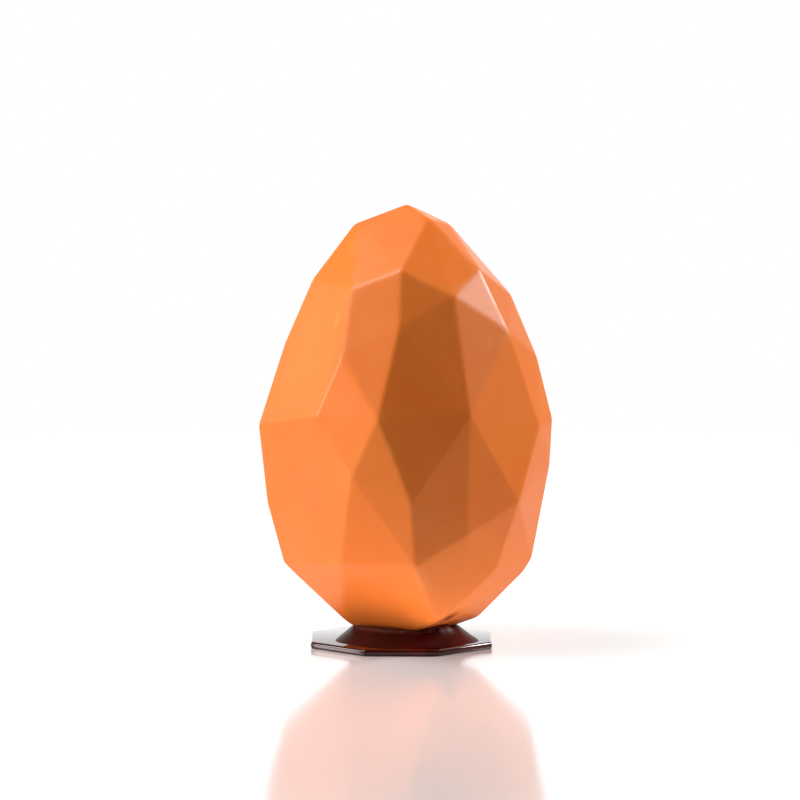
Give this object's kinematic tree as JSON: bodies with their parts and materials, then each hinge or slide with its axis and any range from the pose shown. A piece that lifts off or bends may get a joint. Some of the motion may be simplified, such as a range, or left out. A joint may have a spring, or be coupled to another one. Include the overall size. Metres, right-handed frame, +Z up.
{
  "type": "faceted chocolate egg",
  "caption": "Faceted chocolate egg with a glued seam, standing upright on a flat octagonal chocolate foot, held by a ring of melted chocolate.",
  "frame": {"origin": "on the table, at the foot's flat underside, straight below the egg's apex and 1.4 mm from the foot's centre", "axes": "+Z up through the egg's apex; -Y out of the front half, towards the viewer; +X to the viewer's right; the halves meet on the plane Y = 0"},
  "size_m": [0.1042, 0.1046, 0.1565],
  "materials": {
    "orange_chocolate": "satin gloss moulded chocolate, coloured orange, with lightly scuffed ridges",
    "dark_chocolate": "high gloss tempered dark red-brown chocolate, melted smooth at the collar"
  },
  "bodies": {
    "root": {"shell_front": "orange_chocolate", "shell_back": "orange_chocolate", "foot_plate": "dark_chocolate", "collar": "dark_chocolate"}
  },
  "joints": []
}
